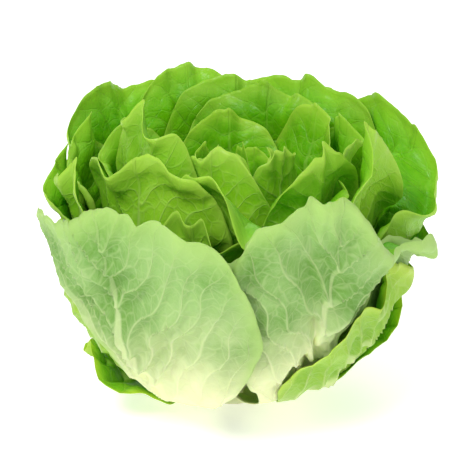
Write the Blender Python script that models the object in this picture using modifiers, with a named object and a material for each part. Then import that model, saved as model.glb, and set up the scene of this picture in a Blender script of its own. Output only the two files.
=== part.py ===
"""A head of butterhead lettuce, cut at the stem and standing upright on the cut.

The head is a short stem with separate leaves round it, from broad outer leaves to the small
leaves of the heart. Run it in Blender with: blender --background --python part.py
"""

import math
from typing import NamedTuple

import bmesh
import bpy
import numpy as np

# Driving dimensions, in metres. The front of the head faces -Y and it stands on z = 0.
STEM_FOOT_RADIUS = 0.0170
STEM_FOOT_BEVEL = 0.0015
STEM_ROOT_RADIUS = 0.0190
STEM_NECK_RADIUS = 0.0060
STEM_HEIGHT = 0.068
STEM_WIDEST = 0.0050
STEM_TIP_HEIGHT = 0.0030
STEM_TIP_SHOULDER = (0.55, 0.70)  # shares of the neck's radius and of the tip's height
STEM_SIDES = 24
FIRST_LEAF_HEIGHT = 0.0075
OUTSIDE_DROP = 0.020
LAST_LEAF_HEIGHT = 0.0540
LOWEST_ROOT_LAYER = -0.18
LEAF_TO_STEM = 0.0008
BLADE_THICKNESS = 0.0008
RIB_THICKNESS = 0.0026
HEART_RIB_SHARE = 0.5
RIB_WIDTH_SHARE = 0.16
RIB_END = 0.85
ROOT_EDGE_SHARE = 0.4
ROOT_END = 0.22
LEAF_CLEARANCE = 0.0005
ROOT_HALF_WIDTH = 0.0110
HEART_ROOT_HALF_WIDTH = 0.0055

# How steeply a leaf leaves the stem and where its rib ends up, in degrees above the horizon.
OUTER_ROOT_SLOPE = 8
INNER_ROOT_SLOPE = 68
OUTER_TOP_SLOPE = 80
INNER_TOP_SLOPE = 92
OUTER_TURN = 0.125
INNER_TURN = 0.060
PROFILE_STEPS = 24
LAYER_RANGE = (-0.4, 1.4)
LAYER_STEP = 0.02
LEAST_DEPTH = 0.010
LEAST_BEND_RADIUS = 0.012

# Where along a leaf's length its forms start, as shares of the length.
SHOULDER_ROW = 0.55
BLADE_MIDDLE = 0.45
RIM_START = 0.25
FOLD_START = 0.3
CROWN_START = 0.35
SIDE_WAVES_START = 0.4
SIDE_WAVES_FULL = 0.9
LIP_START = 0.7

# A margin's waves are a broad one and a smaller, quicker one.
SIDE_POWER = 4
TOP_POWER = 5
SMALL_WAVE_SHARE = 0.35
SMALL_WAVE_PACE = 2.3

# The grid on which neighbouring leaves are kept apart: one degree round the head by 1.5 mm up it.
ROUND_CELLS = 360
UP_CELLS = 150
UP_CELL = 0.0015
EMPTY = -10.0
DRAPE_LAYER = 0.4
DRAPE_SLOPE = 1.0
DRAPE_CELLS = 8
SAMPLES_PER_SQUARE = 12
FIT_ROUNDS = 3
PUSH_ROUNDS = 2
EASE_ROUNDS = 28
EASE_SHARE = 0.3
DIGITS = 4
MM = 0.001


class Leaf(NamedTuple):
    """One leaf. Lengths are in metres and angles in degrees; bearing 0 faces the front."""

    name: str
    bearing: float  # where the rib grows, measured round to the right
    layer: float  # 0 is the outermost leaf, 1 the middle of the heart
    length: float
    half_width: float
    rim: tuple = (0, 0, 0, 0, 0)  # how far the margin rises, in mm, from its left end to its right
    fold: tuple = (0, 0, 0, 0, 0)  # how far the margin stands in, in mm, from its left end to its right
    shoulder: float = 0.42  # how round the top corners are; 0.5 would be a full ellipse
    waist: tuple = (0.0, 0.0)  # the share of the length at which its left and right halves start to broaden
    widest: tuple = (0.55, 0.55)  # the share at which they are widest
    crown: tuple = (1.0, 1.0)  # how much of their width its left and right halves keep at the top
    tip: float = 0.0  # how far the top stands in
    lip: float = 0.0  # how far the last of the top turns in
    ruffle: float = 0.0035
    waves: float = 4.0
    phase: float = 0.0
    cells: int = 9
    colour: str = "middle"


WRAPPERS = (
    Leaf("wrapper_front_left", -36, -0.06, 0.165, 0.070, (-12, -11, 4, -2, -4),
         (-4, -2, -4, 0, 2), 0.15, waist=(0.40, 0.0), widest=(0.88, 0.66), crown=(1.0, 0.95),
         cells=11, phase=20, ruffle=0.003, colour="outer"),
    Leaf("wrapper_front_right", 30, -0.02, 0.168, 0.080, (-3, 0, 0, -31, -20),
         (2, 0, -2, -8, -20), 0.15, waist=(0.1, 0.55), widest=(0.95, 1.0), crown=(0.60, 1.0),
         cells=11, phase=200, ruffle=0.003, colour="outer"),
    Leaf("wrapper_right_low", 60, -0.04, 0.116, 0.046, (-14, -6, 0, 0, -6), (0, 0, 0, 0, 4), 0.3,
         phase=90),
    Leaf("wrapper_right", 92, -0.02, 0.126, 0.058, (0, 0, 0, 0, 0), (0, -6, -12, -8, 0), 0.3,
         phase=10, colour="outer"),
    Leaf("wrapper_right_short", 98, -0.07, 0.090, 0.036, tip=-0.004, phase=120, colour="outer"),
    Leaf("wrapper_back_right", 142, 0.00, 0.142, 0.074, (-6, 0, 2, -2, -6), (0, -3, -6, 0, 0), 0.2,
         ruffle=0.006, phase=10, colour="outer"),
    Leaf("wrapper_back", -172, 0.05, 0.146, 0.070, (-4, 2, -2, 0, -6), (0, 0, -6, -3, 0), 0.2,
         ruffle=0.006, phase=70, colour="outer"),
    Leaf("wrapper_back_left", -132, 0.01, 0.142, 0.074, (-6, -2, 2, 0, -4), (0, -4, -6, -3, 0),
         0.2, ruffle=0.006, phase=150, colour="outer"),
    Leaf("wrapper_left", -92, 0.00, 0.118, 0.062, (0, 0, 0, -4, -8), (0, -4, -6, -4, 0), 0.2,
         ruffle=0.006, phase=30, colour="outer"),
    Leaf("basal_left", -74, -0.13, 0.066, 0.026, phase=40, cells=7),
)

OPEN_LEAVES = (
    Leaf("leaf_right_back", 106, 0.07, 0.162, 0.070, (-26, -14, 0, 4, 0), (-18, -18, -12, -2, 0),
         0.25, phase=40),
    Leaf("leaf_back_right", 156, 0.13, 0.160, 0.064, (-4, 0, 3, 0, -4), (0, -2, -5, 0, 0), 0.25,
         phase=100),
    Leaf("leaf_back_left", -138, 0.12, 0.162, 0.060, (0, 2, 4, 0, -4), (0, -4, -6, -4, 0), 0.3,
         phase=0),
    Leaf("leaf_back", -162, 0.20, 0.156, 0.040, (0, 0, 5, 0, 0), phase=60),
    Leaf("leaf_back_middle", 178, 0.26, 0.148, 0.042, (0, 0, 0, 0, 0), shoulder=0.3, phase=20),
    Leaf("leaf_left", -92, 0.07, 0.145, 0.044, phase=130),
    Leaf("leaf_left_front", -68, 0.11, 0.148, 0.038, phase=30),
    Leaf("leaf_left_back", -106, 0.19, 0.146, 0.030, phase=90),
    Leaf("leaf_right", 64, 0.22, 0.150, 0.040, (0, 0, 4, 0, -6), (0, 0, 4, 0, -8), phase=70),
    Leaf("leaf_front", -14, 0.22, 0.130, 0.046, (0, 0, 0, 0, 0), phase=160),
    Leaf("leaf_front_left", -42, 0.30, 0.144, 0.048, (2, 0, -2, 2, 4), (-4, 0, 0, 4, 6), 0.3,
         phase=30),
    Leaf("leaf_front_right", 12, 0.37, 0.144, 0.056, (-2, 0, 0, 0, 2), (0, 0, -4, 0, 0),
         lip=-0.024, ruffle=0.003, phase=80),
    Leaf("leaf_right_front", 46, 0.40, 0.136, 0.032, phase=10),
    Leaf("leaf_inner_left", -58, 0.42, 0.140, 0.038, (0, 0, 2, 0, 0), (-4, 0, 2, 4, 6), tip=0.008,
         phase=110),
    Leaf("leaf_inner_back_left", -118, 0.36, 0.128, 0.038, phase=110),
    Leaf("leaf_inner_back", 162, 0.36, 0.138, 0.046, shoulder=0.3, phase=50),
    Leaf("leaf_inner_right", 100, 0.42, 0.130, 0.036, phase=10),
)

HEART_LEAVES = (
    Leaf("heart_right", 122, 0.52, 0.122, 0.034, (0, 0, 4, 2, 0), phase=30, ruffle=0.003, cells=8,
         colour="heart"),
    Leaf("heart_left", -100, 0.52, 0.114, 0.030, ruffle=0.003, phase=90, cells=8, colour="heart"),
    Leaf("heart_front", -14, 0.56, 0.116, 0.036, tip=0.008, ruffle=0.003, phase=20, cells=8,
         colour="heart"),
    Leaf("heart_back", -178, 0.60, 0.110, 0.032, ruffle=0.003, phase=60, cells=8, colour="heart"),
    Leaf("heart_inner_right", 50, 0.72, 0.102, 0.024, tip=0.004, phase=140, ruffle=0.002, cells=7,
         colour="heart"),
    Leaf("heart_inner_left", -70, 0.72, 0.092, 0.014, phase=10, ruffle=0.001, cells=7,
         colour="heart"),
    Leaf("heart_centre", 150, 0.92, 0.080, 0.014, ruffle=0.001, phase=70, cells=6, colour="heart"),
)

COLOURS = {
    "stem": ((0.80, 0.84, 0.52), 0.6),
    "outer": ((0.38, 0.56, 0.20), 0.45),
    "middle": ((0.20, 0.46, 0.03), 0.40),
    "heart": ((0.34, 0.60, 0.06), 0.40),
}


def ramp(t):
    """0 below 0, 1 above 1, and smooth between."""
    t = np.clip(t, 0.0, 1.0)
    return t * t * (3.0 - 2.0 * t)


def mix(start, end, share):
    return start + (end - start) * share


def through(values, u):
    """A smooth line through values that stand at even steps from u = -1 to u = 1."""
    values = np.asarray(values, dtype=float)
    place = 0.5 * (np.clip(u, -1.0, 1.0) + 1.0) * (len(values) - 1)
    low = np.minimum(place.astype(int), len(values) - 2)
    return mix(values[low], values[low + 1], ramp(place - low))


def heading(layer, run):
    """The slope of a layer at a distance along it from the stem, in radians."""
    layer = np.clip(layer, *LAYER_RANGE)
    root = np.radians(mix(OUTER_ROOT_SLOPE, INNER_ROOT_SLOPE, layer))
    top = np.radians(mix(OUTER_TOP_SLOPE, INNER_TOP_SLOPE, np.minimum(layer, 1.0)))
    turn = np.clip(run / mix(OUTER_TURN, INNER_TURN, layer), 0.0, 1.0)
    return root + np.maximum(top - root, 0.0) * np.sin(0.5 * math.pi * turn)


def stem_radius(height):
    """The stem narrows evenly from its widest, just over the cut, to its neck."""
    share = np.clip((height - STEM_WIDEST) / (STEM_HEIGHT - STEM_WIDEST), 0.0, 1.0)
    return mix(STEM_ROOT_RADIUS, STEM_NECK_RADIUS, share)


def root_point(layer):
    """Radius and height at which a layer starts, clear of the stem by half a root's thickness."""
    rise = LAST_LEAF_HEIGHT - FIRST_LEAF_HEIGHT
    height = FIRST_LEAF_HEIGHT + rise * np.clip(layer, 0.0, LAYER_RANGE[1])
    height = height + OUTSIDE_DROP * np.clip(layer, LOWEST_ROOT_LAYER, 0.0)
    half = 0.5 * RIB_THICKNESS * mix(1.0, HEART_RIB_SHARE, np.clip(layer, 0.0, 1.0))
    slope = heading(layer, 0.0)
    return stem_radius(height - half * np.cos(slope)) + half * np.sin(slope) + LEAF_TO_STEM, height


def profile(layer, run):
    """Radius and height of a point at a distance along a layer."""
    radius, height = root_point(layer)
    step = run / PROFILE_STEPS
    for i in range(PROFILE_STEPS):
        slope = heading(layer, step * (i + 0.5))
        radius = radius + np.cos(slope) * step
        height = height + np.sin(slope) * step
    return radius, height


def layer_depth(layer, run):
    """Metres to one layer, measured square to the layer at this place."""
    near, far = layer - LAYER_STEP, layer + LAYER_STEP
    radius_a, height_a = profile(near, run)
    radius_b, height_b = profile(far, run)
    slope = heading(layer, run)
    across = np.sin(slope) * (radius_a - radius_b) + np.cos(slope) * (height_b - height_a)
    return np.maximum(across / (far - near), LEAST_DEPTH)


def round_rib(u, v):
    """The angle round the middle of the blade, from its tip."""
    return np.arctan2(u, v - BLADE_MIDDLE)


def margin_share(u, v):
    """0 over the middle of the blade and 1 at its margin."""
    sides = u**SIDE_POWER * ramp((v - SIDE_WAVES_START) / (SIDE_WAVES_FULL - SIDE_WAVES_START))
    return np.clip(sides + v**TOP_POWER, 0.0, 1.0)


def outline(leaf, u, v):
    """Distance along the leaf and sideways from its rib, for grid coordinates u and v."""
    upper = np.clip((v - SHOULDER_ROW) / (1.0 - SHOULDER_ROW), 0.0, 1.0)
    top = SHOULDER_ROW + (1.0 - SHOULDER_ROW) * upper * np.sqrt(1.0 - leaf.shoulder * u * u)
    along = leaf.length * np.where(v < SHOULDER_ROW, v, top)
    along = along + through(leaf.rim, u) * MM * ramp((v - RIM_START) / (1.0 - RIM_START))
    root_width = mix(ROOT_HALF_WIDTH, HEART_ROOT_HALF_WIDTH, np.clip(leaf.layer, 0.0, 1.0))
    to_right = ramp(0.5 + 2.0 * u)
    waist, widest = mix(*leaf.waist, to_right), mix(*leaf.widest, to_right)
    width = mix(root_width, leaf.half_width, ramp((v - waist) / (widest - waist)))
    width = width * mix(1.0, mix(*leaf.crown, to_right), ramp((v - CROWN_START) / (1.0 - CROWN_START)))
    sideways = width * u * np.sqrt(1.0 - leaf.shoulder * upper * upper)
    return along, sideways


def wished_shape(leaf, u, v):
    """Where the leaf would lie with no neighbours: distance along it, bearing in radians, and layer."""
    along, sideways = outline(leaf, u, v)
    radius = profile(leaf.layer, along)[0]
    bearing = math.radians(leaf.bearing) + sideways / np.maximum(radius, LEAST_BEND_RADIUS)
    turn = leaf.waves * round_rib(u, v)
    phase = math.radians(leaf.phase)
    waves = np.sin(turn + phase) + SMALL_WAVE_SHARE * np.sin(SMALL_WAVE_PACE * turn + 2.0 * phase)
    inwards = leaf.ruffle * margin_share(u, v) * waves
    inwards = inwards + through(leaf.fold, u) * MM * ramp((v - FOLD_START) / (1.0 - FOLD_START))
    inwards = inwards + leaf.tip * v**3 + leaf.lip * ramp((v - LIP_START) / (1.0 - LIP_START))
    return along, bearing, leaf.layer + inwards / layer_depth(leaf.layer, along)


def thickness(leaf, u, v):
    """Leaf thickness: a fleshy root that narrows to a thin blade with a rib."""
    thickest = RIB_THICKNESS * mix(1.0, HEART_RIB_SHARE, np.clip(leaf.layer, 0.0, 1.0))
    rib = np.exp(-((u / RIB_WIDTH_SHARE) ** 2)) * (1.0 - ramp(v / RIB_END))
    root = ROOT_EDGE_SHARE * (1.0 - ramp(v / ROOT_END))
    return BLADE_THICKNESS + (thickest - BLADE_THICKNESS) * np.maximum(rib, root)


class Samples:
    """Points spread over a leaf's grid, each a blend of the four corners of its grid square."""

    def __init__(self, columns, rows, per_square):
        inside = (np.arange(per_square) + 0.5) / per_square
        x = (np.arange(columns - 1)[:, None] + inside[None, :]).ravel()
        y = (np.arange(rows - 1)[:, None] + inside[None, :]).ravel()
        x, y = (a.ravel() for a in np.meshgrid(x, y))
        left, low = np.floor(x).astype(int), np.floor(y).astype(int)
        fx, fy = x - left, y - low
        corner = low * columns + left
        self.corners = np.stack([corner, corner + 1, corner + columns, corner + columns + 1])
        self.weights = np.stack([(1 - fx) * (1 - fy), fx * (1 - fy), (1 - fx) * fy, fx * fy])
        self.total = (self.weights**2).sum(0)

    def of(self, values):
        return (values[self.corners] * self.weights).sum(0)

    def raise_to(self, values, floor):
        """Raises the corner values, a share of the way at a time, until no sample lies under floor."""
        values = values.copy()
        for _ in range(EASE_ROUNDS):
            short = EASE_SHARE * np.maximum(floor - self.of(values), 0.0)
            lift = np.zeros_like(values)
            for corner, weight in zip(self.corners, self.weights):
                np.maximum.at(lift, corner, short * weight / self.total)
            values += lift
        return values


def cells_of(along, bearing):
    column = np.floor(np.degrees(bearing) * ROUND_CELLS / 360.0).astype(int) % ROUND_CELLS
    row = np.clip(np.floor(along / UP_CELL).astype(int), 0, UP_CELLS - 1)
    return column, row


def spread(field):
    """Each cell takes the highest value of itself and its neighbours."""
    field = np.maximum(field, np.maximum(np.roll(field, 1, 0), np.roll(field, -1, 0)))
    up = np.pad(field, ((0, 0), (1, 1)), mode="edge")
    return np.maximum(field, np.maximum(up[:, 2:], up[:, :-2]))


def drape(field):
    """Past a leaf's margin the next leaf comes down at a gentle slope, not in a step."""
    row_run = (np.arange(UP_CELLS) + 0.5) * UP_CELL
    depth = layer_depth(DRAPE_LAYER, row_run)
    radius = profile(DRAPE_LAYER, row_run)[0]
    side_drop = DRAPE_SLOPE * radius * math.radians(360.0 / ROUND_CELLS) / depth
    up_drop = DRAPE_SLOPE * UP_CELL / depth
    for _ in range(DRAPE_CELLS):
        beside = np.maximum(np.roll(field, 1, 0), np.roll(field, -1, 0)) - side_drop
        up = np.pad(field, ((0, 0), (1, 1)), mode="edge")
        above = np.maximum(up[:, 2:], up[:, :-2]) - up_drop
        field = np.maximum(field, np.maximum(beside, above))
    return field


def smoothed(values, columns, rows):
    grid = np.pad(values.reshape(rows, columns), 1, mode="edge")
    around = grid[:-2, 1:-1] + grid[2:, 1:-1] + grid[1:-1, :-2] + grid[1:-1, 2:]
    return (0.5 * grid[1:-1, 1:-1] + 0.125 * around).ravel()


def settled(leaf, u, v, along, bearing, wish, taken, depth):
    """The leaf's layer values once it lies clear of taken, and the height of its inner face."""
    columns = rows = leaf.cells + 1
    half = 0.5 * thickness(leaf, u, v) / depth
    samples = Samples(columns, rows, SAMPLES_PER_SQUARE)
    column, row = cells_of(samples.of(along), samples.of(bearing))
    layer = samples.raise_to(wish, taken[column, row] + samples.of(half))
    push = layer - wish
    for _ in range(PUSH_ROUNDS):
        push = np.maximum(push, smoothed(push, columns, rows))
    layer = wish + push
    covered = np.full((ROUND_CELLS, UP_CELLS), EMPTY)
    np.maximum.at(covered, (column, row), samples.of(layer + half + LEAF_CLEARANCE / depth))
    return layer, covered


def fitted_leaves(leaves):
    """Lays the leaves from the outermost in, each clear of those outside it, and yields their points."""
    taken = np.full((ROUND_CELLS, UP_CELLS), EMPTY)
    for leaf in sorted(leaves, key=lambda each: each.layer):
        steps = np.linspace(0.0, 1.0, leaf.cells + 1)
        v, u = (a.ravel() for a in np.meshgrid(steps, 2.0 * steps - 1.0, indexing="ij"))
        along, bearing, wish = wished_shape(leaf, u, v)
        layer = wish
        for _ in range(FIT_ROUNDS):
            depth = layer_depth(layer, along)
            layer, covered = settled(leaf, u, v, along, bearing, wish, taken, depth)
        taken = np.maximum(taken, drape(spread(covered)))
        radius, height = profile(layer, along)
        points = np.stack([radius * np.sin(bearing), -radius * np.cos(bearing), height], axis=1)
        yield leaf, u, v, points


def material(name):
    colour, roughness = COLOURS[name]
    made = bpy.data.materials.new(name)
    made.use_nodes = True
    shader = made.node_tree.nodes["Principled BSDF"]
    shader.inputs["Base Color"].default_value = (*colour, 1.0)
    shader.inputs["Roughness"].default_value = roughness
    shader.inputs["Metallic"].default_value = 0.0
    return made


def add_object(name, mesh, made, collection):
    mesh.materials.append(made)
    mesh.shade_smooth()
    obj = bpy.data.objects.new(name, mesh)
    collection.objects.link(obj)
    return obj


def add_leaf(leaf, u, v, points, made, collection):
    """A grid bent to the leaf's points, then given its thickness."""
    bm = bmesh.new()
    bmesh.ops.create_grid(bm, x_segments=leaf.cells, y_segments=leaf.cells, size=1.0)
    bm.verts.ensure_lookup_table()
    place = {(round(a, DIGITS), round(b, DIGITS)): i for i, (a, b) in enumerate(zip(u, 2.0 * v - 1.0))}
    weights = thickness(leaf, u, v) / RIB_THICKNESS
    order = [place[(round(vert.co.x, DIGITS), round(vert.co.y, DIGITS))] for vert in bm.verts]
    for vert, i in zip(bm.verts, order):
        vert.co = points[i]
    bmesh.ops.triangulate(bm, faces=bm.faces, quad_method="SHORT_EDGE")
    mesh = bpy.data.meshes.new(leaf.name)
    bm.to_mesh(mesh)
    bm.free()
    obj = add_object(leaf.name, mesh, made, collection)
    group = obj.vertex_groups.new(name="thickness")
    for vert, i in enumerate(order):
        group.add([vert], float(weights[i]), "REPLACE")
    solidify = obj.modifiers.new("thickness", "SOLIDIFY")
    solidify.thickness = RIB_THICKNESS
    solidify.offset = 0.0
    solidify.vertex_group = "thickness"
    return obj


def add_stem(made, collection):
    """The stem: a turned profile from the tip down to the flat cut."""
    outline_points = [
        (0.0, STEM_HEIGHT + STEM_TIP_HEIGHT),
        (STEM_TIP_SHOULDER[0] * STEM_NECK_RADIUS, STEM_HEIGHT + STEM_TIP_SHOULDER[1] * STEM_TIP_HEIGHT),
        (STEM_NECK_RADIUS, STEM_HEIGHT),
        (STEM_ROOT_RADIUS, STEM_WIDEST),
        (STEM_FOOT_RADIUS + STEM_FOOT_BEVEL, STEM_FOOT_BEVEL),
        (STEM_FOOT_RADIUS, 0.0),
        (0.0, 0.0),
    ]
    mesh = bpy.data.meshes.new("stem")
    bm = bmesh.new()
    verts = [bm.verts.new((x, 0.0, z)) for x, z in outline_points]
    for a, b in zip(verts, verts[1:]):
        bm.edges.new((a, b))
    bm.to_mesh(mesh)
    bm.free()
    obj = add_object("stem", mesh, made, collection)
    screw = obj.modifiers.new("turned", "SCREW")
    screw.steps = screw.render_steps = STEM_SIDES
    screw.use_merge_vertices = True
    screw.merge_threshold = 0.1 * MM
    return obj


def main():
    for obj in list(bpy.data.objects):
        bpy.data.objects.remove(obj)
    collection = bpy.data.collections.new("lettuce")
    bpy.context.scene.collection.children.link(collection)
    materials = {name: material(name) for name in COLOURS}
    add_stem(materials["stem"], collection)
    for leaf, u, v, points in fitted_leaves(WRAPPERS + OPEN_LEAVES + HEART_LEAVES):
        add_leaf(leaf, u, v, points, materials[leaf.colour], collection)


main()
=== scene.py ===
import math
from typing import NamedTuple

import bmesh
import bpy
import numpy as np
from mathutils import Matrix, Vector


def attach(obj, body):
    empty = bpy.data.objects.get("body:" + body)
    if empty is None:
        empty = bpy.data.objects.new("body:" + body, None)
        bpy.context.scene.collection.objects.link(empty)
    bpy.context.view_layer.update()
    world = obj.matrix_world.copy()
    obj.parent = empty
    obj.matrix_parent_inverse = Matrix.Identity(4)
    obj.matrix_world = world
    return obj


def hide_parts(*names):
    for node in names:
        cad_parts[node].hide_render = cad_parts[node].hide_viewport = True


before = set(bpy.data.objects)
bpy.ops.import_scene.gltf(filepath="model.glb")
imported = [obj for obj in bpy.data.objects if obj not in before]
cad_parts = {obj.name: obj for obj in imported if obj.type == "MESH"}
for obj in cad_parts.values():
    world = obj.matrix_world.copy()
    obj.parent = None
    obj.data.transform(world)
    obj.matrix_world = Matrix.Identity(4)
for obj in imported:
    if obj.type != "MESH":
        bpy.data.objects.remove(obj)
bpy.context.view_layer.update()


# The floor, the light and the camera.
# A pale studio sweep lit softly from the upper left, seen from a little above the rim of the head.
WHITE = (1.0, 1.0, 1.0, 1.0)
FLOOR_HALF_WIDTH = 3.0
FLOOR_ROUGHNESS = 0.6
FLOOR_GLOW = 0.36
DAYLIGHT = 0.58
CAMERA_DISTANCE = 0.75
CAMERA_ELEVATION = 24
CAMERA_TARGET = Vector((0, 0, 0.0892))
FRAME_WIDTH = 0.232
SENSOR_WIDTH = 36.0

floor_mesh = bpy.data.meshes.new("floor")
bm = bmesh.new()
bmesh.ops.create_grid(bm, x_segments=1, y_segments=1, size=FLOOR_HALF_WIDTH)
bm.to_mesh(floor_mesh)
bm.free()
floor = bpy.data.objects.new("floor", floor_mesh)
bpy.context.scene.collection.objects.link(floor)
floor_paint = bpy.data.materials.new("white_floor")
floor_paint.use_nodes = True
floor_shader = floor_paint.node_tree.nodes["Principled BSDF"]
floor_shader.inputs["Base Color"].default_value = WHITE
floor_shader.inputs["Roughness"].default_value = FLOOR_ROUGHNESS
floor_shader.inputs["Emission Color"].default_value = WHITE
floor_shader.inputs["Emission Strength"].default_value = FLOOR_GLOW
floor_mesh.materials.append(floor_paint)


def add_lamp(name, power, width, place):
    """A square soft box that faces the head."""
    light = bpy.data.lights.new(name, "AREA")
    light.energy = power
    light.size = width
    lamp = bpy.data.objects.new(name, light)
    lamp.location = place
    lamp.rotation_mode = "QUATERNION"
    lamp.rotation_quaternion = (CAMERA_TARGET - Vector(place)).to_track_quat("-Z", "Y")
    bpy.context.scene.collection.objects.link(lamp)


add_lamp("key_light", 7.5, 0.35, (-0.40, -0.65, 1.00))
add_lamp("fill_light", 1.6, 0.9, (0.90, -0.50, 0.60))
add_lamp("back_light", 3.2, 0.8, (0.10, 0.70, 0.90))

daylight = bpy.data.worlds.new("daylight")
daylight.use_nodes = True
daylight.node_tree.nodes["Background"].inputs["Color"].default_value = WHITE
daylight.node_tree.nodes["Background"].inputs["Strength"].default_value = DAYLIGHT
bpy.context.scene.world = daylight
bpy.context.scene.view_settings.view_transform = "Standard"

elevation = math.radians(CAMERA_ELEVATION)
towards_camera = Vector((0.0, -math.cos(elevation), math.sin(elevation)))
camera = bpy.data.objects.new("camera", bpy.data.cameras.new("camera"))
camera.data.sensor_width = SENSOR_WIDTH
camera.data.lens = SENSOR_WIDTH * CAMERA_DISTANCE / FRAME_WIDTH
camera.location = CAMERA_TARGET + towards_camera * CAMERA_DISTANCE
camera.rotation_mode = "QUATERNION"
camera.rotation_quaternion = (-towards_camera).to_track_quat("-Z", "Y")
bpy.context.scene.collection.objects.link(camera)
bpy.context.scene.camera = camera


# The stem.
# The short pale core that carries every leaf, juicy and brittle, cut straight across with a knife.
# The cut has dried a little: a browner rim, and a ring of darker dots where the leaf veins ran.
MM = 0.001
STEM_FOOT_RADIUS = 0.0170
STEM_FOOT_BEVEL = 0.0015
STEM_ROOT_RADIUS = 0.0190
STEM_NECK_RADIUS = 0.0060
STEM_HEIGHT = 0.068
STEM_WIDEST = 0.0050
STEM_STEPS = 96
CREAM = (0.80, 0.84, 0.56)
GREEN_CREAM = (0.70, 0.77, 0.40)
DRIED = (0.52, 0.36, 0.16)
VEIN_BROWN = (0.42, 0.40, 0.14)
CUT_DEPTH = 0.0006
DRY_RIM_START = 0.0120
VEIN_RING = 0.0125
VEIN_RING_HALF_WIDTH = 0.0022
STEM_PATCHES = 260.0
STEM_DOTS = 420.0
STEM_RELIEF = 0.0005


def wire(made, kind, settings=None, **sockets):
    """A node with some settings and sockets set. A socket given another node's output is joined to it."""
    node = made.node_tree.nodes.new(kind)
    for name, value in (settings or {}).items():
        setattr(node, name, value)
    for name, value in sockets.items():
        socket = node.inputs[int(name[1:])] if name[1:].isdigit() else node.inputs[name.replace("_", " ")]
        if isinstance(value, bpy.types.NodeSocket):
            made.node_tree.links.new(value, socket)
        else:
            socket.default_value = value
    return node


def blank(name, roughness):
    """A new material and its shader."""
    made = bpy.data.materials.new(name)
    made.use_nodes = True
    shader = made.node_tree.nodes["Principled BSDF"]
    shader.inputs["Roughness"].default_value = roughness
    return made, shader


def rise(made, value, low, high, start=0.0, end=1.0):
    """value carried smoothly from start to end as it goes from low to high."""
    settings = {"interpolation_type": "SMOOTHSTEP"}
    node = wire(made, "ShaderNodeMapRange", settings, _0=value, _1=low, _2=high, _3=start, _4=end)
    return node.outputs[0]


def sums(made, operation, first, second=0.0):
    """One step of arithmetic."""
    return wire(made, "ShaderNodeMath", {"operation": operation}, _0=first, _1=second).outputs[0]


def tint(made, share, first, second):
    """first where share is 0 and second where it is 1."""
    first = (*first, 1.0) if isinstance(first, tuple) else first
    second = (*second, 1.0) if isinstance(second, tuple) else second
    return wire(made, "ShaderNodeMix", {"data_type": "RGBA"}, _0=share, _6=first, _7=second).outputs[2]


cut, shader = blank("cut_stem", 0.45)
where = wire(cut, "ShaderNodeTexCoord").outputs["Object"]
split = wire(cut, "ShaderNodeSeparateXYZ", Vector=where)
level = wire(cut, "ShaderNodeCombineXYZ", X=split.outputs[0], Y=split.outputs[1]).outputs[0]
from_middle = wire(cut, "ShaderNodeVectorMath", {"operation": "LENGTH"}, _0=level).outputs[1]
patches = wire(cut, "ShaderNodeTexNoise", Vector=where, Scale=STEM_PATCHES, Detail=5.0).outputs[0]
dots = wire(cut, "ShaderNodeTexVoronoi", Vector=where, Scale=STEM_DOTS).outputs[0]
on_cut = rise(cut, split.outputs[2], CUT_DEPTH, 0.0)
dry_rim = sums(cut, "MULTIPLY", rise(cut, from_middle, DRY_RIM_START, STEM_FOOT_RADIUS), on_cut)
from_ring = sums(cut, "ABSOLUTE", sums(cut, "SUBTRACT", from_middle, VEIN_RING))
near_ring = rise(cut, from_ring, VEIN_RING_HALF_WIDTH, 0.0)
ring_dots = sums(cut, "MULTIPLY", sums(cut, "MULTIPLY", near_ring, rise(cut, dots, 0.5, 0.1)), on_cut)
colour = tint(cut, rise(cut, patches, 0.35, 0.7), CREAM, GREEN_CREAM)
colour = tint(cut, sums(cut, "MULTIPLY", dry_rim, rise(cut, patches, 0.3, 0.65)), colour, DRIED)
colour = tint(cut, ring_dots, colour, VEIN_BROWN)
cut.node_tree.links.new(colour, shader.inputs["Base Color"])
bump = wire(cut, "ShaderNodeBump", Strength=0.5, Distance=STEM_RELIEF, Height=patches)
cut.node_tree.links.new(bump.outputs[0], shader.inputs["Normal"])

stem_mesh = bpy.data.meshes.new("cut_stem")
bm = bmesh.new()
neck = STEM_NECK_RADIUS
stem_line = [
    (0.0, 0.0004), (0.30 * STEM_FOOT_RADIUS, 0.0004), (0.62 * STEM_FOOT_RADIUS, 0.0002),
    (0.74 * STEM_FOOT_RADIUS, 0.0005), (0.86 * STEM_FOOT_RADIUS, 0.0001), (STEM_FOOT_RADIUS, 0.0),
    (STEM_FOOT_RADIUS + 0.7 * STEM_FOOT_BEVEL, 0.4 * STEM_FOOT_BEVEL),
    (STEM_FOOT_RADIUS + STEM_FOOT_BEVEL, STEM_FOOT_BEVEL), (STEM_ROOT_RADIUS, STEM_WIDEST),
    (0.5 * (STEM_ROOT_RADIUS + neck), 0.5 * STEM_HEIGHT), (neck, STEM_HEIGHT),
    (0.55 * neck, STEM_HEIGHT + 0.35 * neck), (0.0, STEM_HEIGHT + 0.5 * neck),
]
stem_verts = [bm.verts.new((radius, 0.0, height)) for radius, height in stem_line]
for below, above in zip(stem_verts, stem_verts[1:]):
    bm.edges.new((below, above))
bmesh.ops.spin(bm, geom=bm.verts[:] + bm.edges[:], cent=(0, 0, 0), axis=(0, 0, 1), angle=2.0 * math.pi,
               steps=STEM_STEPS, use_merge=True)
bmesh.ops.remove_doubles(bm, verts=bm.verts, dist=0.02 * MM)
bmesh.ops.recalc_face_normals(bm, faces=bm.faces)
bm.to_mesh(stem_mesh)
bm.free()
stem_mesh.shade_smooth()
stem_mesh.materials.append(cut)
stem = bpy.data.objects.new("cut_stem", stem_mesh)
bpy.context.scene.collection.objects.link(stem)
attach(stem, "root")
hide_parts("stem")


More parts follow.
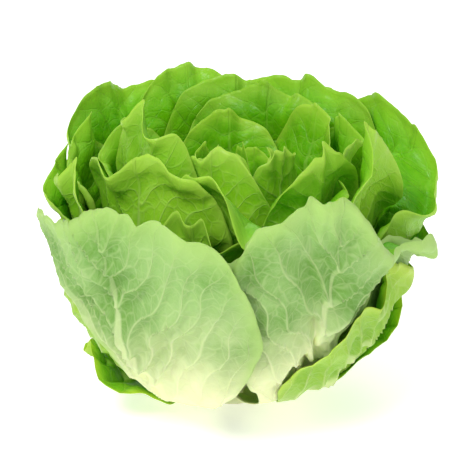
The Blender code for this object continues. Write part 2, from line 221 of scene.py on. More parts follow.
# The outer leaves.
# Ten broad leaves grow lowest on the stem. Their backs are pale, matt and faintly grey, with raised
# cream veins that fan from a thick white rib. Each wraps the leaves inside it and rests on the next.
LAST_LEAF_HEIGHT = 0.0540
FIRST_LEAF_HEIGHT = 0.0075
OUTSIDE_DROP = 0.020
LEAF_TO_STEM = 0.0008
RIB_THICKNESS = 0.0026
HEART_RIB_SHARE = 0.5
ROOT_EDGE_SHARE = 0.4
BLADE_THICKNESS = 0.0005
LEAF_CLEARANCE = 0.0004
ROOT_HALF_WIDTH = 0.0110
HEART_ROOT_HALF_WIDTH = 0.0055
OUTER_ROOT_SLOPE = 8
INNER_ROOT_SLOPE = 68
OUTER_TOP_SLOPE = 80
INNER_TOP_SLOPE = 92
OUTER_TURN = 0.125
INNER_TURN = 0.060
PROFILE_STEPS = 24
SHOULDER_ROW = 0.55
CROWN_START = 0.35
RIM_START = 0.25
HALVES_BLEND = 2.0
ROUND_CELLS = 720
UP_CELLS = 260
UP_CELL = 0.00085
EMPTY = -10.0
DRAPE_SLOPE = 1.0
DRAPE_CELLS = 14
DRAPE_LAYER = 0.4
FIT_ROUNDS = 3
SAMPLES = 3
OUTERMOST_LAYER = -0.4
INNERMOST_LAYER = 1.4
LOWEST_ROOT_LAYER = -0.18
LAYER_STEP = 0.02
LEAST_DEPTH = 0.010
LEAST_BEND_RADIUS = 0.012
HALF_AND_MARGIN = 0.6


class Leaf(NamedTuple):
    """One leaf. Lengths are in metres and angles in degrees; bearing 0 faces the front."""

    name: str
    bearing: float  # where the rib grows, measured round to the right
    layer: float  # 0 is the outermost leaf, 1 the middle of the heart
    length: float
    half_width: float
    rim: tuple = (0, 0, 0, 0, 0)  # how far the margin rises, in mm, from its left end to its right
    fold: tuple = (0, 0, 0, 0, 0)  # how far the margin stands in, in mm, from its left end to its right
    shoulder: float = 0.42  # how round the top corners are; 0.5 would be a full ellipse
    waist: tuple = (0.0, 0.0)  # the share of the length at which its left and right halves broaden
    widest: tuple = (0.55, 0.55)  # the share at which they are widest
    crown: tuple = (1.0, 1.0)  # how much of their width its left and right halves keep at the top
    tip: float = 0.0  # how far the top stands in
    lip: float = 0.0  # how far the last of the top turns in
    ruffle: float = 0.0035
    phase: float = 0.0


OUTER_LEAVES = (
    Leaf("wrapper_front_left", -36, -0.06, 0.165, 0.070, (-12, -11, 4, -2, -4),
         (-4, -2, -4, 0, 2), 0.15, waist=(0.40, 0.0), widest=(0.88, 0.66), crown=(1.0, 0.95),
         phase=20, ruffle=0.003),
    Leaf("wrapper_front_right", 30, -0.02, 0.168, 0.080, (-3, 0, 0, -31, -20),
         (2, 0, -2, -8, -20), 0.15, waist=(0.1, 0.55), widest=(0.95, 1.0), crown=(0.60, 1.0),
         phase=200, ruffle=0.003),
    Leaf("wrapper_right_low", 60, -0.04, 0.116, 0.046, (-14, -6, 0, 0, -6), (0, 0, 0, 0, 4), 0.3,
         phase=90),
    Leaf("wrapper_right", 92, -0.02, 0.126, 0.058, (0, 0, 0, 0, 0), (0, -6, -12, -8, 0), 0.3,
         phase=10),
    Leaf("wrapper_right_short", 98, -0.07, 0.090, 0.036, tip=-0.004, phase=120),
    Leaf("wrapper_back_right", 142, 0.00, 0.142, 0.074, (-6, 0, 2, -2, -6), (0, -3, -6, 0, 0), 0.2,
         ruffle=0.006, phase=10),
    Leaf("wrapper_back", -172, 0.05, 0.146, 0.070, (-4, 2, -2, 0, -6), (0, 0, -6, -3, 0), 0.2,
         ruffle=0.006, phase=70),
    Leaf("wrapper_back_left", -132, 0.01, 0.142, 0.074, (-6, -2, 2, 0, -4), (0, -4, -6, -3, 0),
         0.2, ruffle=0.006, phase=150),
    Leaf("wrapper_left", -92, 0.00, 0.118, 0.062, (0, 0, 0, -4, -8), (0, -4, -6, -4, 0), 0.2,
         ruffle=0.006, phase=30),
    Leaf("basal_left", -74, -0.13, 0.066, 0.026, phase=40),
)


def ramp(t):
    """0 below 0, 1 above 1, and smooth between."""
    t = np.clip(t, 0.0, 1.0)
    return t * t * (3.0 - 2.0 * t)


def mix(start, end, share):
    """start where share is 0 and end where it is 1."""
    return start + (end - start) * share


def through(values, u):
    """A smooth line through values that stand at even steps from u = -1 to u = 1."""
    values = np.asarray(values, dtype=float)
    place = 0.5 * (np.clip(u, -1.0, 1.0) + 1.0) * (len(values) - 1)
    low = np.minimum(place.astype(int), len(values) - 2)
    return mix(values[low], values[low + 1], ramp(place - low))


def heading(layer, run):
    """The slope of a layer at a distance along it from the stem, in radians."""
    layer = np.clip(layer, OUTERMOST_LAYER, INNERMOST_LAYER)
    root = np.radians(mix(OUTER_ROOT_SLOPE, INNER_ROOT_SLOPE, layer))
    top = np.radians(mix(OUTER_TOP_SLOPE, INNER_TOP_SLOPE, np.minimum(layer, 1.0)))
    turn = np.clip(run / mix(OUTER_TURN, INNER_TURN, layer), 0.0, 1.0)
    return root + np.maximum(top - root, 0.0) * np.sin(0.5 * math.pi * turn)


def stem_radius(height):
    """Half the stem's width at a height."""
    share = np.clip((height - STEM_WIDEST) / (STEM_HEIGHT - STEM_WIDEST), 0.0, 1.0)
    return mix(STEM_ROOT_RADIUS, STEM_NECK_RADIUS, share)


def root_point(layer):
    """Radius and height at which a layer starts, clear of the stem by half a root's thickness."""
    climb = LAST_LEAF_HEIGHT - FIRST_LEAF_HEIGHT
    height = FIRST_LEAF_HEIGHT + climb * np.clip(layer, 0.0, INNERMOST_LAYER)
    height = height + OUTSIDE_DROP * np.clip(layer, LOWEST_ROOT_LAYER, 0.0)
    half = 0.5 * RIB_THICKNESS * mix(1.0, HEART_RIB_SHARE, np.clip(layer, 0.0, 1.0))
    slope = heading(layer, 0.0)
    return stem_radius(height - half * np.cos(slope)) + half * np.sin(slope) + LEAF_TO_STEM, height


def profile(layer, run):
    """Radius and height of a point at a distance along a layer."""
    radius, height = root_point(layer)
    step = run / PROFILE_STEPS
    for i in range(PROFILE_STEPS):
        slope = heading(layer, step * (i + 0.5))
        radius = radius + np.cos(slope) * step
        height = height + np.sin(slope) * step
    return radius, height


def layer_depth(layer, run):
    """Metres to one layer, measured square to the layer at this place."""
    near, far = layer - LAYER_STEP, layer + LAYER_STEP
    radius_a, height_a = profile(near, run)
    radius_b, height_b = profile(far, run)
    slope = heading(layer, run)
    across = np.sin(slope) * (radius_a - radius_b) + np.cos(slope) * (height_b - height_a)
    return np.maximum(across / (far - near), LEAST_DEPTH)


FULL_TURN = 2.0 * math.pi
SWELLS = 7
SWELL_PACE = (0.7, 1.35)
SWELL_SUM = 3.0
NET_REPEAT = 64
NET_JITTER = (0.15, 0.85)
NET_SLOPE = 1.4
FAR_OFF = 9.0


def wander(x, y, size, seed):
    """A smooth random field, mostly between -1 and 1, whose swells are of this size."""
    picks = np.random.default_rng(seed)
    total = 0.0
    for _ in range(SWELLS):
        turn = picks.uniform(0.0, FULL_TURN)
        pace = FULL_TURN / size * picks.uniform(*SWELL_PACE)
        start = picks.uniform(0.0, FULL_TURN)
        total = total + np.sin(pace * (x * math.cos(turn) + y * math.sin(turn)) + start)
    return total / SWELL_SUM


def puffs(x, y, size, seed):
    """0 along the veins of a random net with meshes of this size, and up to 1 amid each mesh."""
    picks = np.random.default_rng(seed)
    jitter = picks.uniform(*NET_JITTER, (2, NET_REPEAT, NET_REPEAT))
    column, row = np.floor(x / size).astype(int), np.floor(y / size).astype(int)
    nearest = np.full(np.shape(x), FAR_OFF)
    second = np.full(np.shape(x), FAR_OFF)
    for across in (-1, 0, 1):
        for up in (-1, 0, 1):
            here = (column + across) % NET_REPEAT, (row + up) % NET_REPEAT
            off_x = column + across + jitter[0][here] - x / size
            off_y = row + up + jitter[1][here] - y / size
            away = np.hypot(off_x, off_y)
            second = np.minimum(second, np.maximum(nearest, away))
            nearest = np.minimum(nearest, away)
    return ramp((second - nearest) * NET_SLOPE)


def rounded(u, v, corner):
    """Draws the two top corners of the blade's square grid in to quarter rounds."""
    across = np.maximum(np.abs(u) - 1.0 + corner, 0.0) / corner
    up = np.maximum(v - 1.0 + corner, 0.0) / corner
    new_u = np.minimum(np.abs(u), 1.0 - corner) + corner * across * np.sqrt(1.0 - 0.5 * up * up)
    new_v = np.minimum(v, 1.0 - corner) + corner * up * np.sqrt(1.0 - 0.5 * across * across)
    return np.sign(u) * new_u, new_v


def outline(leaf, u, v):
    """Distance along the leaf and sideways from its rib, for grid coordinates u and v."""
    upper = np.clip((v - SHOULDER_ROW) / (1.0 - SHOULDER_ROW), 0.0, 1.0)
    top = SHOULDER_ROW + (1.0 - SHOULDER_ROW) * upper * np.sqrt(1.0 - leaf.shoulder * u * u)
    along = leaf.length * np.where(v < SHOULDER_ROW, v, top)
    along = along + through(leaf.rim, u) * MM * ramp((v - RIM_START) / (1.0 - RIM_START))
    root_width = mix(ROOT_HALF_WIDTH, HEART_ROOT_HALF_WIDTH, np.clip(leaf.layer, 0.0, 1.0))
    to_right = ramp(0.5 + HALVES_BLEND * u)
    waist, widest = mix(*leaf.waist, to_right), mix(*leaf.widest, to_right)
    width = mix(root_width, leaf.half_width, ramp((v - waist) / (widest - waist)))
    width = width * mix(1.0, mix(*leaf.crown, to_right), ramp((v - CROWN_START) / (1.0 - CROWN_START)))
    sideways = width * u * np.sqrt(1.0 - leaf.shoulder * upper * upper)
    return along, sideways


class Form(NamedTuple):
    """The fine form that a group of leaves shares, in metres."""

    cells: int  # squares along each side of the grid
    notch: float  # how far the margin strays in and out
    frill: float  # how far it sways across the blade
    curl: float  # how far it turns outwards
    pucker: float  # how far the blade puffs out between its veins
    vein_pitch: float  # from one side vein to the next along the rib
    vein_climb: float  # how steeply a side vein climbs away from the rib
    corner: float  # how much of the blade's width and length its two top corners are rounded over


OUTER_FORM = Form(96, 0.0004, 0.0010, 0.0015, 0.0038, 0.019, 1.5, 0.17)
BLADE_MIDDLE = 0.45
SIDE_EDGE_POWER = 6
TOP_EDGE_POWER = 8
SIDE_EDGE_START = 0.15
SIDE_EDGE_RISE = 0.4
NOTCH_SIZE = 0.014
SMALL_NOTCH_SIZE = 0.005
SMALL_NOTCH_SHARE = 0.35
VEIN_STRAY = 0.004
VEIN_STRAY_SIZE = 0.035
VEIN_BEND = 3.0
VEIN_STAGGER = 0.25
RIB_WIDTH_SHARE = 0.55
RIB_TIP_HALF_WIDTH = 0.0005
RIB_END = 0.9


def leaf_seed(name):
    """A whole number that differs from leaf to leaf and is the same on each run."""
    return sum((place + 3) * ord(letter) for place, letter in enumerate(name))


def blade_fields(leaf, form, grid_u, grid_v):
    """Everything known of the blade at each grid point before it is bent round the stem."""
    seed = leaf_seed(leaf.name)
    u, v = rounded(grid_u, grid_v, form.corner)
    along, sideways = outline(leaf, u, v)
    # how near the point lies to the margin, 0 to 1
    side_edge = np.abs(grid_u) ** SIDE_EDGE_POWER * ramp((grid_v - SIDE_EDGE_START) / SIDE_EDGE_RISE)
    edge = np.maximum(side_edge, grid_v**TOP_EDGE_POWER)
    angle = np.arctan2(u, v - BLADE_MIDDLE)
    round_edge = angle * leaf.half_width
    notch = form.notch * wander(round_edge, 0.0, NOTCH_SIZE, seed + 1)
    notch = notch + SMALL_NOTCH_SHARE * form.notch * wander(round_edge, 0.0, SMALL_NOTCH_SIZE, seed + 2)
    along = along + notch * edge * np.cos(angle)
    sideways = sideways + notch * edge * np.sin(angle)
    stray = VEIN_STRAY * wander(sideways, along, VEIN_STRAY_SIZE, seed + 3)
    climb = form.vein_climb * np.abs(sideways) + VEIN_BEND * sideways**2
    side_vein = (along + stray - climb) / form.vein_pitch
    side_vein = side_vein + VEIN_STAGGER * np.tanh(sideways / (2.0 * MM))
    rib_share = ramp(along / (RIB_END * leaf.length))
    rib_half = mix(RIB_WIDTH_SHARE * ROOT_HALF_WIDTH, RIB_TIP_HALF_WIDTH, rib_share)
    rib_place = np.abs(sideways) / rib_half
    return seed, u, v, along, sideways, edge, angle, side_vein, rib_place


WAVE_PACE = 4.0
SMALL_WAVE_PACE = 9.2
SMALL_WAVE_SHARE = 0.35
SIDE_WAVES_START = 0.4
SIDE_WAVES_RISE = 0.5
FOLD_START = 0.3
LIP_START = 0.7
FRILL_SIZE = 0.020
CURL_SWAY_SIZE = 0.045
CURL_LEAST = 0.55
CURL_SWAY = 0.45
BLADE_START = 0.12
BLADE_RISE = 0.3
EDGE_CALM = 0.6
PUCKER_ROUNDNESS = 0.7
PUCKER_LEVEL = 0.6
PUCKER_FAR_SHARE = 0.35
PUFF_SIZE = 0.011
PUFF_HEIGHT = 0.0006
PUFF_SLANT = 0.6
SWELL_SIZE = 0.034
SWELL_HEIGHT = 0.0018


def wished_layer(leaf, form, seed, u, v, along, sideways, edge, angle, side_vein):
    """The layer in which the leaf would lie at each point with no neighbours."""
    phase = math.radians(leaf.phase)
    waves = np.sin(WAVE_PACE * angle + phase)
    waves = waves + SMALL_WAVE_SHARE * np.sin(SMALL_WAVE_PACE * angle + 2.0 * phase)
    margin = np.clip(u**4 * ramp((v - SIDE_WAVES_START) / SIDE_WAVES_RISE) + v**5, 0.0, 1.0)
    inwards = leaf.ruffle * margin * waves
    inwards = inwards + through(leaf.fold, u) * MM * ramp((v - FOLD_START) / (1.0 - FOLD_START))
    inwards = inwards + leaf.tip * v**3 + leaf.lip * ramp((v - LIP_START) / (1.0 - LIP_START))
    round_edge = angle * leaf.half_width
    inwards = inwards + form.frill * edge * wander(round_edge, 0.0, FRILL_SIZE, seed + 4)
    sway = CURL_LEAST + CURL_SWAY * wander(round_edge, 0.0, CURL_SWAY_SIZE, seed + 7)
    inwards = inwards - form.curl * ramp(edge) * sway
    between = np.abs(np.sin(math.pi * side_vein)) ** PUCKER_ROUNDNESS - PUCKER_LEVEL
    blade = ramp((v - BLADE_START) / BLADE_RISE) * (1.0 - EDGE_CALM * edge)
    inwards = inwards + form.pucker * blade * mix(1.0, PUCKER_FAR_SHARE, ramp(np.abs(u))) * between
    meshes = puffs(sideways, along - PUFF_SLANT * np.abs(sideways), PUFF_SIZE, seed + 5)
    inwards = inwards + PUFF_HEIGHT * blade * (meshes - 0.5)
    inwards = inwards + SWELL_HEIGHT * blade * wander(sideways, along, SWELL_SIZE, seed + 6)
    return leaf.layer + inwards / layer_depth(leaf.layer, along)


RIB_ROUNDNESS = 1.1
RIB_TOP = 0.95
ROOT_END = 0.22


def thickness(leaf, v, rib_place):
    """Leaf thickness: a fleshy root that narrows to a thin blade with a rib."""
    thickest = RIB_THICKNESS * mix(1.0, HEART_RIB_SHARE, np.clip(leaf.layer, 0.0, 1.0))
    rib = np.exp(-((rib_place / RIB_ROUNDNESS) ** 2)) * (1.0 - ramp(v / RIB_TOP))
    root = ROOT_EDGE_SHARE * (1.0 - ramp(v / ROOT_END))
    return BLADE_THICKNESS + (thickest - BLADE_THICKNESS) * np.maximum(rib, root)


class Samples:
    """Points spread over a leaf's grid, each a blend of the four corners of its grid square."""

    def __init__(self, columns, rows, per_square):
        inside = (np.arange(per_square) + 0.5) / per_square
        x = (np.arange(columns - 1)[:, None] + inside[None, :]).ravel()
        y = (np.arange(rows - 1)[:, None] + inside[None, :]).ravel()
        x, y = (a.ravel() for a in np.meshgrid(x, y))
        left, low = np.floor(x).astype(int), np.floor(y).astype(int)
        fx, fy = x - left, y - low
        corner = low * columns + left
        self.corners = np.stack([corner, corner + 1, corner + columns, corner + columns + 1])
        self.weights = np.stack([(1 - fx) * (1 - fy), fx * (1 - fy), (1 - fx) * fy, fx * fy])

    def of(self, values):
        """The values at the points."""
        return (values[self.corners] * self.weights).sum(0)

    def most(self, values, count):
        """The highest value that each grid point's own squares hold."""
        highest = np.zeros(count)
        for corner in self.corners:
            np.maximum.at(highest, corner, values)
        return highest


def cells_of(along, bearing):
    """The cell of the table of taken layers in which a point lies."""
    column = np.floor(np.degrees(bearing) * ROUND_CELLS / 360.0).astype(int) % ROUND_CELLS
    row = np.clip(np.floor(along / UP_CELL).astype(int), 0, UP_CELLS - 1)
    return column, row


def spread(field):
    """Each cell takes the highest value of itself and its neighbours."""
    field = np.maximum(field, np.maximum(np.roll(field, 1, 0), np.roll(field, -1, 0)))
    up = np.pad(field, ((0, 0), (1, 1)), mode="edge")
    return np.maximum(field, np.maximum(up[:, 2:], up[:, :-2]))


def drape(field):
    """Past a leaf's margin the next leaf comes down at a gentle slope, not in a step."""
    row_run = (np.arange(UP_CELLS) + 0.5) * UP_CELL
    row_layer = np.full(UP_CELLS, DRAPE_LAYER)
    depth = layer_depth(row_layer, row_run)
    radius = profile(row_layer, row_run)[0]
    side_drop = DRAPE_SLOPE * radius * math.radians(360.0 / ROUND_CELLS) / depth
    up_drop = DRAPE_SLOPE * UP_CELL / depth
    for _ in range(DRAPE_CELLS):
        beside = np.maximum(np.roll(field, 1, 0), np.roll(field, -1, 0)) - side_drop
        up = np.pad(field, ((0, 0), (1, 1)), mode="edge")
        above = np.maximum(up[:, 2:], up[:, :-2]) - up_drop
        field = np.maximum(field, np.maximum(beside, above))
    return field


STENCIL = (-2, -1, 0, 1, 2)
BLUR = np.array([1.0, 4.0, 6.0, 4.0, 1.0]) / 16.0


def eased(push, side):
    """A smooth push that is nowhere less than the one given: widened by two points, then blurred."""
    grid = push.reshape(side, side)
    wide = np.pad(grid, 2, mode="edge")
    for axis in (0, 1):
        wide = np.stack([np.roll(wide, step, axis) for step in STENCIL]).max(0)
    blurred = wide
    for axis in (0, 1):
        blurred = np.tensordot(BLUR, np.stack([np.roll(blurred, step, axis) for step in STENCIL]), axes=1)
    return np.maximum(blurred[2:-2, 2:-2].ravel(), push)


# The innermost layer already filled, in cells round the stem and up along the leaves.
taken = np.full((ROUND_CELLS, UP_CELLS), EMPTY)


def laid(leaf, form):
    """Lays one leaf clear of those outside it. Returns its middle surface and what its faces need."""
    global taken
    side = form.cells + 1
    grid_v, grid_u = np.meshgrid(np.linspace(0, 1, side), np.linspace(-1, 1, side), indexing="ij")
    grid_u, grid_v = grid_u.ravel(), grid_v.ravel()
    fields = blade_fields(leaf, form, grid_u, grid_v)
    seed, u, v, along, sideways, edge, angle, side_vein, rib_place = fields
    wish = wished_layer(leaf, form, seed, u, v, along, sideways, edge, angle, side_vein)
    radius = profile(leaf.layer, along)[0]
    bearing = math.radians(leaf.bearing) + sideways / np.maximum(radius, LEAST_BEND_RADIUS)
    thick = thickness(leaf, v, rib_place)
    samples = Samples(side, side, SAMPLES)
    column, row = cells_of(samples.of(along), samples.of(bearing))
    layer = wish
    for _ in range(FIT_ROUNDS):
        depth = layer_depth(layer, along)
        short = taken[column, row] + samples.of(HALF_AND_MARGIN * thick / depth) - samples.of(wish)
        layer = wish + eased(samples.most(short, side * side), side)
    covered = np.full((ROUND_CELLS, UP_CELLS), EMPTY)
    inner_side = layer + (HALF_AND_MARGIN * thick + LEAF_CLEARANCE) / depth
    np.maximum.at(covered, (column, row), samples.of(inner_side))
    taken = np.maximum(taken, drape(spread(covered)))
    radius, height = profile(layer, along)
    middle = np.stack([radius * np.sin(bearing), -radius * np.cos(bearing), height], axis=1)
    return middle, thick, along, sideways, grid_v, edge, side_vein, rib_place


LEAST_LENGTH = 1e-12


def square_to(middle, side):
    """The inward normal of the middle surface at each grid point."""
    grid = middle.reshape(side, side, 3)
    up, across = np.gradient(grid, axis=0), np.gradient(grid, axis=1)
    normal = np.cross(across, up).reshape(-1, 3)
    normal = normal / np.maximum(np.linalg.norm(normal, axis=1, keepdims=True), LEAST_LENGTH)
    return -normal


EDGE_THICKNESS_SHARE = 0.45
VEIN_HALF_WIDTH = 0.0016
VEIN_START = 0.1
VEIN_RISE = 0.2
VEIN_FADE = 0.7
BACK_VEIN_HEIGHT = 0.00025
FACE_VEIN_DEPTH = 0.00015


def build_leaf(leaf, form, materials):
    """A closed leaf: a square grid and its twin, one bent to the back of the leaf and one to its face."""
    middle, thick, along, sideways, grid_v, edge, side_vein, rib_place = laid(leaf, form)
    side = form.cells + 1
    inward = square_to(middle, side)
    half = 0.5 * thick * mix(1.0, EDGE_THICKNESS_SHARE, ramp(edge))
    beside_vein = (side_vein - np.round(side_vein)) * form.vein_pitch
    vein = np.exp(-((beside_vein / VEIN_HALF_WIDTH) ** 2))
    vein = vein * ramp((grid_v - VEIN_START) / VEIN_RISE) * (1.0 - VEIN_FADE * edge)
    back = middle - inward * (half + BACK_VEIN_HEIGHT * vein)[:, None]
    face = middle + inward * (half - FACE_VEIN_DEPTH * vein)[:, None]

    bm = bmesh.new()
    place = bm.verts.layers.int.new("place")
    bmesh.ops.create_grid(bm, x_segments=form.cells, y_segments=form.cells, size=1.0)
    for vert in bm.verts:
        column = round((vert.co.x + 1.0) * 0.5 * form.cells)
        row = round((vert.co.y + 1.0) * 0.5 * form.cells)
        vert[place] = row * side + column
    bmesh.ops.solidify(bm, geom=bm.faces[:], thickness=BLADE_THICKNESS)
    mesh = bpy.data.meshes.new(leaf.name)
    bm.to_mesh(mesh)
    bm.free()

    count = len(mesh.vertices)
    order = np.zeros(count, dtype=np.int32)
    mesh.attributes["place"].data.foreach_get("value", order)
    is_face = np.arange(count) >= side * side
    points = np.where(is_face[:, None], face[order], back[order])
    mesh.vertices.foreach_set("co", points.astype(np.float32).ravel())

    corners = np.zeros(len(mesh.loops), dtype=np.int32)
    mesh.loops.foreach_get("vertex_index", corners)
    for name, first, second in (("blade", sideways, along), ("veins", side_vein, rib_place)):
        spots = np.stack([first, second], axis=1)[order][corners]
        mesh.uv_layers.new(name=name).data.foreach_set("uv", spots.astype(np.float32).ravel())
    for name, values in (("margin", edge), ("from_root", along / leaf.length)):
        attribute = mesh.attributes.new(name, "FLOAT", "POINT")
        attribute.data.foreach_set("value", values[order].astype(np.float32))
    starts = np.zeros(len(mesh.polygons), dtype=np.int32)
    mesh.polygons.foreach_get("loop_start", starts)
    on_face = np.minimum.reduceat(is_face[corners].astype(np.int32), starts)
    for made in materials:
        mesh.materials.append(made)
    mesh.polygons.foreach_set("material_index", on_face)
    mesh.attributes.remove(mesh.attributes["place"])

    bm = bmesh.new()
    bm.from_mesh(mesh)
    bmesh.ops.recalc_face_normals(bm, faces=bm.faces)
    bm.to_mesh(mesh)
    bm.free()
    mesh.shade_smooth()
    mesh.update()
    obj = bpy.data.objects.new("leaf." + leaf.name, mesh)
    bpy.context.scene.collection.objects.link(obj)
    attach(obj, "root")
    if leaf.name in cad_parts:
        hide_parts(leaf.name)


CLOUD_SCALE = 26.0
MOTTLE_SCALE = 300.0
WARP_SCALE = 90.0
WARP_REACH = 0.006
COARSE_NET_SCALE = 130.0
FINE_NET_SCALE = 380.0
SIDE_LINE_WIDTHS = (0.075, 0.03)  # in side vein spacings, at the rib and at the margin
COARSE_LINE = (0.09, 0.55)  # how wide a line of the net is, and how strong
FINE_LINE = (0.12, 0.22)
RIB_LINE_EDGES = (1.4, 0.5)
# painted shade: how far out from the rib, and how strongly, the hollows between the side veins are
# darkened
HOLLOW_SHADE_REACH = 18.0  # in half widths of the rib
HOLLOW_SHADE_SHARE = 0.9
MARGIN_SHARE = 0.75
VEIN_SHIFT = 100.0  # keeps the side veins' numbers above 0
ROOT_WANDER = 0.06
SMOOTHEST = -0.06
ROUGHEST = 0.08
RELIEF_SHARE = 0.8
MOTTLE_RELIEF = 0.35
UNDER_SKIN = 0.25
UNDER_SKIN_REACH = (0.6, 1.0, 0.25)
UNDER_SKIN_SCALE = 0.002


def leaf_finish(name, tones, rib, root, margin, roughness, vein_height, gloss, net=0.3,
                root_reach=(0.42, 0.03)):
    """One side of a leaf: tones of green, a net of veins, a pale rib and root, painted shade in the
    hollows between the side veins, and a bright margin.
    """
    made, shader = blank(name, roughness)
    blade = wire(made, "ShaderNodeUVMap", {"uv_map": "blade"}).outputs[0]
    vein_map = wire(made, "ShaderNodeUVMap", {"uv_map": "veins"}).outputs[0]
    veins = wire(made, "ShaderNodeSeparateXYZ", Vector=vein_map)
    edge = wire(made, "ShaderNodeAttribute", {"attribute_name": "margin"}).outputs["Fac"]
    from_root = wire(made, "ShaderNodeAttribute", {"attribute_name": "from_root"}).outputs["Fac"]
    where = wire(made, "ShaderNodeTexCoord").outputs["Object"]

    clouds = wire(made, "ShaderNodeTexNoise", Vector=where, Scale=CLOUD_SCALE, Detail=3.0).outputs[0]
    mottle = wire(made, "ShaderNodeTexNoise", Vector=blade, Scale=MOTTLE_SCALE, Detail=4.0).outputs[0]
    warp = wire(made, "ShaderNodeTexNoise", Vector=blade, Scale=WARP_SCALE, Detail=2.0).outputs["Color"]
    warp = wire(made, "ShaderNodeVectorMath", {"operation": "SCALE"}, _0=warp, Scale=WARP_REACH).outputs[0]
    bent = wire(made, "ShaderNodeVectorMath", {"operation": "ADD"}, _0=blade, _1=warp).outputs[0]
    cell = {"feature": "DISTANCE_TO_EDGE"}
    coarse = wire(made, "ShaderNodeTexVoronoi", cell, Vector=bent, Scale=COARSE_NET_SCALE).outputs[0]
    fine = wire(made, "ShaderNodeTexVoronoi", cell, Vector=bent, Scale=FINE_NET_SCALE).outputs[0]

    beside = sums(made, "PINGPONG", sums(made, "ADD", veins.outputs[0], VEIN_SHIFT), 0.5)
    side_width = rise(made, edge, 0.0, 0.8, *SIDE_LINE_WIDTHS)
    off_line = rise(made, sums(made, "DIVIDE", beside, side_width), 0.0, 1.0)
    side_line = sums(made, "SUBTRACT", 1.0, off_line)
    coarse_line = rise(made, coarse, COARSE_LINE[0], 0.0, 0.0, COARSE_LINE[1])
    fine_line = rise(made, fine, FINE_LINE[0], 0.0, 0.0, FINE_LINE[1])
    rib_line = rise(made, veins.outputs[1], *RIB_LINE_EDGES)
    lines = sums(made, "MAXIMUM", side_line, sums(made, "MAXIMUM", coarse_line, fine_line))
    lines = sums(made, "MULTIPLY", lines, rise(made, edge, 0.9, 0.3, 0.35, 1.0))
    all_lines = sums(made, "MAXIMUM", lines, rib_line)

    colour = tint(made, rise(made, clouds, 0.35, 0.65), tones[0], tones[1])
    colour = tint(made, rise(made, mottle, 0.3, 0.75, 0.0, 0.35), colour, tones[2])
    # painted shade: midway between the side veins, near the rib and below the top, the blade is darkened
    # to the darker tone where it lies recessed
    near_rib = rise(made, veins.outputs[1], HOLLOW_SHADE_REACH, 1.0, 0.0, HOLLOW_SHADE_SHARE)
    hollow_shade = sums(made, "MULTIPLY", rise(made, beside, 0.1, 0.5), near_rib)
    hollow_shade = sums(made, "MULTIPLY", hollow_shade, rise(made, from_root, 0.95, 0.6))
    colour = tint(made, hollow_shade, colour, tones[1])
    colour = tint(made, sums(made, "MULTIPLY", lines, net), colour, rib)
    uneven_root = sums(made, "ADD", from_root, rise(made, clouds, 0.3, 0.7, -ROOT_WANDER, ROOT_WANDER))
    near_root = rise(made, uneven_root, *root_reach)
    rib_reach = sums(made, "MULTIPLY", rib_line, rise(made, from_root, 0.95, 0.35, 0.15, 1.0))
    side_reach = sums(made, "MULTIPLY", side_line, rise(made, from_root, 0.8, 0.2, 0.0, 0.8))
    colour = tint(made, sums(made, "MAXIMUM", rib_reach, side_reach), colour, rib)
    colour = tint(made, near_root, colour, root)
    colour = tint(made, rise(made, edge, 0.25, 1.0, 0.0, MARGIN_SHARE), colour, margin)
    made.node_tree.links.new(colour, shader.inputs["Base Color"])

    uneven = rise(made, mottle, 0.3, 0.7, roughness + SMOOTHEST, roughness + ROUGHEST)
    made.node_tree.links.new(uneven, shader.inputs["Roughness"])
    shader.inputs["Specular IOR Level"].default_value = gloss
    relief = sums(made, "ADD", all_lines, sums(made, "MULTIPLY", mottle, MOTTLE_RELIEF))
    bump = wire(made, "ShaderNodeBump", Strength=RELIEF_SHARE, Distance=vein_height, Height=relief)
    made.node_tree.links.new(bump.outputs[0], shader.inputs["Normal"])
    shader.inputs["Subsurface Weight"].default_value = UNDER_SKIN
    shader.inputs["Subsurface Radius"].default_value = UNDER_SKIN_REACH
    shader.inputs["Subsurface Scale"].default_value = UNDER_SKIN_SCALE
    return made


OUTER_BACK = leaf_finish(
    "outer_leaf_back",
    tones=((0.29, 0.49, 0.14), (0.13, 0.31, 0.035), (0.36, 0.55, 0.21)),
    rib=(0.66, 0.78, 0.38),
    root=(0.86, 0.91, 0.50),
    margin=(0.40, 0.62, 0.16),
    roughness=0.55,
    vein_height=0.0004,
    gloss=0.3,
    net=0.36,
    root_reach=(0.74, 0.26),
)
OUTER_FACE = leaf_finish(
    "outer_leaf_face",
    tones=((0.07, 0.31, 0.008), (0.04, 0.23, 0.006), (0.12, 0.38, 0.015)),
    rib=(0.34, 0.56, 0.10),
    root=(0.60, 0.74, 0.22),
    margin=(0.36, 0.62, 0.08),
    roughness=0.36,
    vein_height=-0.0004,
    gloss=0.2,
)
LOW_BACK = leaf_finish(
    "low_leaf_back",
    tones=((0.30, 0.54, 0.03), (0.22, 0.46, 0.012), (0.40, 0.62, 0.06)),
    rib=(0.66, 0.78, 0.34),
    root=(0.82, 0.88, 0.46),
    margin=(0.46, 0.66, 0.06),
    roughness=0.45,
    vein_height=0.0004,
    gloss=0.35,
    net=0.28,
    root_reach=(0.5, 0.1),
)
LOW_FACE = leaf_finish(
    "low_leaf_face",
    tones=((0.22, 0.50, 0.015), (0.13, 0.38, 0.008), (0.34, 0.60, 0.04)),
    rib=(0.50, 0.70, 0.14),
    root=(0.70, 0.80, 0.30),
    margin=(0.50, 0.68, 0.06),
    roughness=0.36,
    vein_height=-0.0004,
    gloss=0.2,
)
BRIGHT_LEAVES = ("wrapper_right_low", "basal_left", "wrapper_left", "wrapper_right_short")
for leaf in sorted(OUTER_LEAVES, key=lambda each: each.layer):
    finishes = (LOW_BACK, LOW_FACE) if leaf.name in BRIGHT_LEAVES else (OUTER_BACK, OUTER_FACE)
    build_leaf(leaf, OUTER_FORM, finishes)


